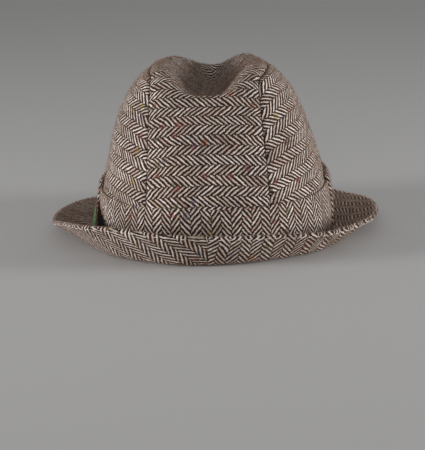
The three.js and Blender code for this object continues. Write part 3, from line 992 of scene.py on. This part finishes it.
def stitches(line, facing):
    """Raised stitches along a line on a cloth that faces so."""
    walked = paces(line[None], 1)
    count = int(walked[-1] / STITCH_PITCH)
    places = (np.arange(count) + 0.5) * walked[-1] / count

    def at(distance, values):
        return np.stack([np.interp(distance, walked, values[:, k]) for k in range(3)], -1)

    middle, up = at(places, line), unit(at(places, facing))
    along = unit(at(places + STITCH_WIDTH, line) - at(places - STITCH_WIDTH, line))
    across = np.cross(along, up)
    quarters = np.radians([0, 90, 180, 270])
    ring = [STITCH_WIDTH * (across * math.cos(t) + up * math.sin(t)) for t in quarters]
    low = middle - up * STITCH_WIDTH / 2
    points = [low - along * STITCH_LENGTH / 2]
    for share in STITCH_RINGS:
        points += [middle + along * STITCH_LENGTH * share + corner for corner in ring]
    points.append(low + along * STITCH_LENGTH / 2)
    points = np.stack(points, 1)
    last = points.shape[1] - 1
    faces = []
    for k in range(4):
        a, b = 1 + k, 1 + (k + 1) % 4
        faces += [(0, b, a), (a, b, b + 4), (a, b + 4, a + 4), (last, a + 4, b + 4)]
    faces = outwards(points[0], np.array(faces))
    faces = np.concatenate([faces + stitch * (last + 1) for stitch in range(count)])
    flat = points.reshape(-1, 3)
    return Solid(flat, faces, np.zeros((len(flat), 2)), paint=2)


def brim_ply(upper, fibres, seed):
    """One ply, rounded off towards the edge, with its fibres and stitches."""
    points, cloth, left, lift = brim_ring()
    # The angle runs to the left seen from behind, and the underside is seen from below.
    side = slice(None, None, -1) if upper else slice(None)
    sheet = Sheet([points[:, side]], [cloth[:, side]])
    numbers = sheet.grids[0]
    order = np.unique(numbers.ravel(), return_index=True)[1]
    left, lift = left[:, side].ravel()[order], lift[:, side].ravel()[order]
    out = sheet.normals
    inset = np.minimum(left / STACK, 1)
    half = np.maximum(STACK * np.sqrt(1 - (1 - inset) ** 2), THINNEST)
    raised = STACK + half if upper else half - STACK
    hollow = STITCH_PULL * swell(left - STITCH_INSET, STITCH_INSET / 2)
    sheet.points = sheet.points + out * (raised - hollow + (lift if upper else -lift))[:, None]
    sheet.points[:, 2] = np.maximum(0, sheet.points[:, 2])
    sheet.normals = normals_of(sheet.points, sheet.faces)
    solid = sheet.wall(half - PLY_GAP / 2 - hollow / 2, out)
    solid.join(fuzz(sheet, fibres, FIBRE_LENGTH, seed))
    row = np.abs(left[numbers] - STITCH_INSET).mean(1).argmin()
    return solid.join(stitches(sheet.points[numbers[row]], sheet.normals[numbers[row]]))


for ply, upper, fibres, seed in (("under", False, 9000, 61), ("upper", True, 24000, 62)):
    solid = brim_ply(upper, fibres, seed)
    paints = [tweed_brim, fuzz_fibre, edge_thread]
    add_piece(f"tweed_brim_{ply}", solid, paints, f"brim_{ply}")


# Feathers on the wearer's left
FEATHER_FOOT = 0.004
FEATHER_THICKNESS = 0.0008
FEATHER_STEP = FEATHER_THICKNESS + SEAT_GAP
BARBS = 44
BARB_THICKNESS = 0.0003
BARB_REACH = 0.17  # share of the feather's length that a barb runs upwards
BARB_FILL = 0.75  # half breadth of a barb's root in its share of the shaft
BARB_STEPS = 4
BARB_BEND = 0.85  # below 1, a barb leaves the shaft more upwards than outwards
BARB_TAPER = 0.75  # share of its breadth that it loses by its tip
BARBS_START = 0.02  # share of the length where the lowest barb stands
BARBS_LENGTH = 0.9
ROOT_JITTER = 0.3  # of the place of a barb's root, in barbs
TIP_JITTER = 0.2  # of its reach
EDGE_JITTER = 0.05
SHAFT_STEPS = 8
SHAFT_RADIUS = 0.00045
SHAFT_RISE = 0.0001
SHAFT_END = 0.97  # share of the feather's length that the shaft reaches
FEATHER_CURL = 0.0003
OUTLINE_ALONG = (0.0, 0.08, 0.22, 0.45, 0.7, 0.88, 1.0)
OUTLINE_HALF = (0.12, 0.36, 0.5, 0.46, 0.3, 0.15, 0.04)


def barb(side, root, jitter):
    """Middles and half sizes (across, along, raised) of one barb from the shaft to the vane's edge."""
    tip = min(1.0, root + BARB_REACH * (1 + TIP_JITTER * jitter))
    edge = np.interp(tip, OUTLINE_ALONG, OUTLINE_HALF) * (1 + EDGE_JITTER * jitter)
    s = even(BARB_STEPS)
    middles = np.stack([side * edge * s, mix(root, tip, s**BARB_BEND), 0 * s], -1)
    breadth = BARB_FILL / BARBS * (1 - BARB_TAPER * s)
    halves = np.stack([0 * s, breadth, 0 * s + BARB_THICKNESS / 2], -1)
    return middles, halves


def shaft(width):
    """Middles and half sizes of the shaft."""
    along = even(SHAFT_STEPS) * SHAFT_END
    slim = SHAFT_RADIUS * (1.2 - 0.9 * along)
    middles = np.stack([0 * along, along, 0 * along + SHAFT_RISE], -1)
    return middles, np.stack([slim / width, 0 * along, slim], -1)


def bar_faces(sections, corners):
    """The faces of a closed bar of so many sections of so many corners."""
    faces = []
    for k in range(sections - 1):
        for m in range(corners):
            a, b = k * corners + m, k * corners + (m + 1) % corners
            faces += [(a, b, b + corners), (a, b + corners, a + corners)]
    end = (sections - 1) * corners
    for m in range(1, corners - 1):
        faces += [(0, m + 1, m), (end, end + m, end + m + 1)]
    return np.array(faces)


BARB_RING = np.array([(0, -1, -1), (0, 1, -1), (0, 0, 1)])
SHAFT_TURNS = np.radians([0, 72, 144, 216, 288])
SHAFT_RING = np.stack([np.cos(SHAFT_TURNS), 0 * SHAFT_TURNS, np.sin(SHAFT_TURNS)], -1)


def feather(place, layer, length, width, swing, flare, seed):
    """A feather on the band. place, swing: degrees from the back, and how far the tip turns.
    layer: how many feathers lie under it. flare: how far its foot stands off."""
    rng = np.random.default_rng(seed)
    away = SEAT_GAP + BAND_THICKNESS + layer * FEATHER_STEP + FEATHER_THICKNESS / 2

    def bar(middles, halves, ring):
        places = (middles[:, None] + halves[:, None] * ring).reshape(-1, 3)
        across, along, raised = places.T
        loop = loop_at_height(FEATHER_FOOT + along * length)
        angle = np.radians(place + swing * along) + across * width / HALF_WIDTH
        curl = FEATHER_CURL * (1 - 3 * across**2)
        points = on_crown(angle, loop, away + raised + curl + flare * (1 - along) ** 2)
        return Solid(points, outwards(points, bar_faces(len(middles), len(ring))), places[:, :2])

    solid = bar(*shaft(width), SHAFT_RING)
    for side in (-1, 1):
        for k in range(BARBS):
            jitter = rng.uniform(-1, 1)
            root = BARBS_START + BARBS_LENGTH * (k + ROOT_JITTER * jitter) / BARBS
            solid.join(bar(*barb(side, root, jitter), BARB_RING))
    return solid


def feather_paint(name, base, tip):
    r = Recipe(name)
    mottle = r.noise(r.cloth(), 0.12, 3)[0]
    colour = r.blend(r.ramp(mottle, 0.3, 0.7), base, tip)
    return r.finish(colour, Roughness=0.6, Specular_IOR_Level=0.25)


# colour, place, layer, length and width as shares of BAND_HEIGHT, swing, flare, shades
feathers = [
    ("black", 63, 0, 0.66, 0.92, 17, 0.0006, (srgb(5, 4, 3), srgb(13, 9, 7))),
    ("red", 73, 1, 0.69, 0.25, 5, 0.0012, (srgb(132, 40, 38), srgb(170, 84, 70))),
    ("green", 73, 2, 0.6, 0.52, 4, 0.003, (srgb(66, 92, 52), srgb(124, 148, 104))),
]
for colour, place, layer, length, width, swing, flare, shades in feathers:
    sizes = (length * BAND_HEIGHT, width * BAND_HEIGHT)
    solid = feather(place, layer, *sizes, swing, flare, 70 + layer)
    paint = feather_paint(f"feather_{colour}_vane", *shades)
    add_piece(f"{colour}_feather", solid, [paint], f"feather_{colour}")


# Floor, light and camera
def add_floor():
    mesh = bpy.data.meshes.new("floor")
    half, level = 6.0, -0.0001
    corners = [(-half, -half), (half, -half), (half, half), (-half, half)]
    mesh.from_pydata([(x, y, level) for x, y in corners], [], [(0, 1, 2, 3)])
    mesh.materials.append(plain("pale_floor", srgb(204, 203, 202), Roughness=0.9))
    add_object("floor", mesh)


def outward_from_hat(azimuth, elevation):
    """Azimuth 0 is in front of the hat, and 90 degrees at the wearer's left."""
    level = math.cos(elevation)
    return Vector((math.sin(azimuth) * level, -math.cos(azimuth) * level, math.sin(elevation)))


LIGHT_SIZE = 0.9
LIGHT_SPREAD = math.radians(70)  # as of a softbox with a grid, so that the floor by it stays even
LIGHT_AIM = Vector((0, 0, 0.06))
WORLD_LIGHT = 0.28


def add_light(name, azimuth, elevation, distance, power):
    """A soft square light that faces the hat."""
    back = outward_from_hat(math.radians(azimuth), math.radians(elevation))
    light = bpy.data.lights.new(name, "AREA")
    light.shape = "SQUARE"
    light.size = LIGHT_SIZE
    light.energy = power
    light.spread = LIGHT_SPREAD
    lamp = add_object(name, light)
    lamp.location = LIGHT_AIM + back * distance
    lamp.rotation_mode = "QUATERNION"
    lamp.rotation_quaternion = (-back).to_track_quat("-Z", "Y")


add_floor()
# name, azimuth, elevation, distance, power
add_light("left_softbox", 105, 4, 2.2, 8.8)
add_light("right_softbox", 262, 4, 2.2, 8.0)
add_light("back_softbox", 183, 14, 2.0, 1.1)
world = bpy.data.worlds.new("studio")
world.use_nodes = True
sky = world.node_tree.nodes["Background"]
sky.inputs["Color"].default_value = (1, 1, 1, 1)
sky.inputs["Strength"].default_value = WORLD_LIGHT
bpy.context.scene.world = world
bpy.context.scene.view_settings.view_transform = "Standard"

# The photo's view. Its picture is 425 by 450 pixels, and the hat's origin lies at VIEW_CENTRE.
VIEW_AZIMUTH = math.radians(183)
VIEW_ELEVATION = math.radians(13)
VIEW_ROLL = math.radians(1.8)
VIEW_DISTANCE = 1.5
PICTURE_WIDTH = 425
PICTURE_HEIGHT = 450
PIXEL_SIZE = 0.000745  # metres a pixel at the hat's origin
VIEW_CENTRE = (216.8, 226.0)
SENSOR = 36.0


def add_camera():
    back = outward_from_hat(VIEW_AZIMUTH, VIEW_ELEVATION)
    right = Vector((math.cos(VIEW_AZIMUTH), math.sin(VIEW_AZIMUTH), 0))
    up = back.cross(right)
    c, s = math.cos(VIEW_ROLL), math.sin(VIEW_ROLL)
    turned = Matrix((right * c - up * s, right * s + up * c, back)).transposed()
    data = bpy.data.cameras.new("camera")
    data.sensor_width = SENSOR
    data.lens = SENSOR * VIEW_DISTANCE / (PICTURE_HEIGHT * PIXEL_SIZE)
    data.shift_x = (PICTURE_WIDTH / 2 - VIEW_CENTRE[0]) / PICTURE_HEIGHT
    data.shift_y = (VIEW_CENTRE[1] - PICTURE_HEIGHT / 2) / PICTURE_HEIGHT
    data.clip_start, data.clip_end = 0.05, 50
    camera = add_object("camera", data)
    camera.location = back * VIEW_DISTANCE
    camera.rotation_mode = "QUATERNION"
    camera.rotation_quaternion = turned.to_quaternion()
    bpy.context.scene.camera = camera


add_camera()
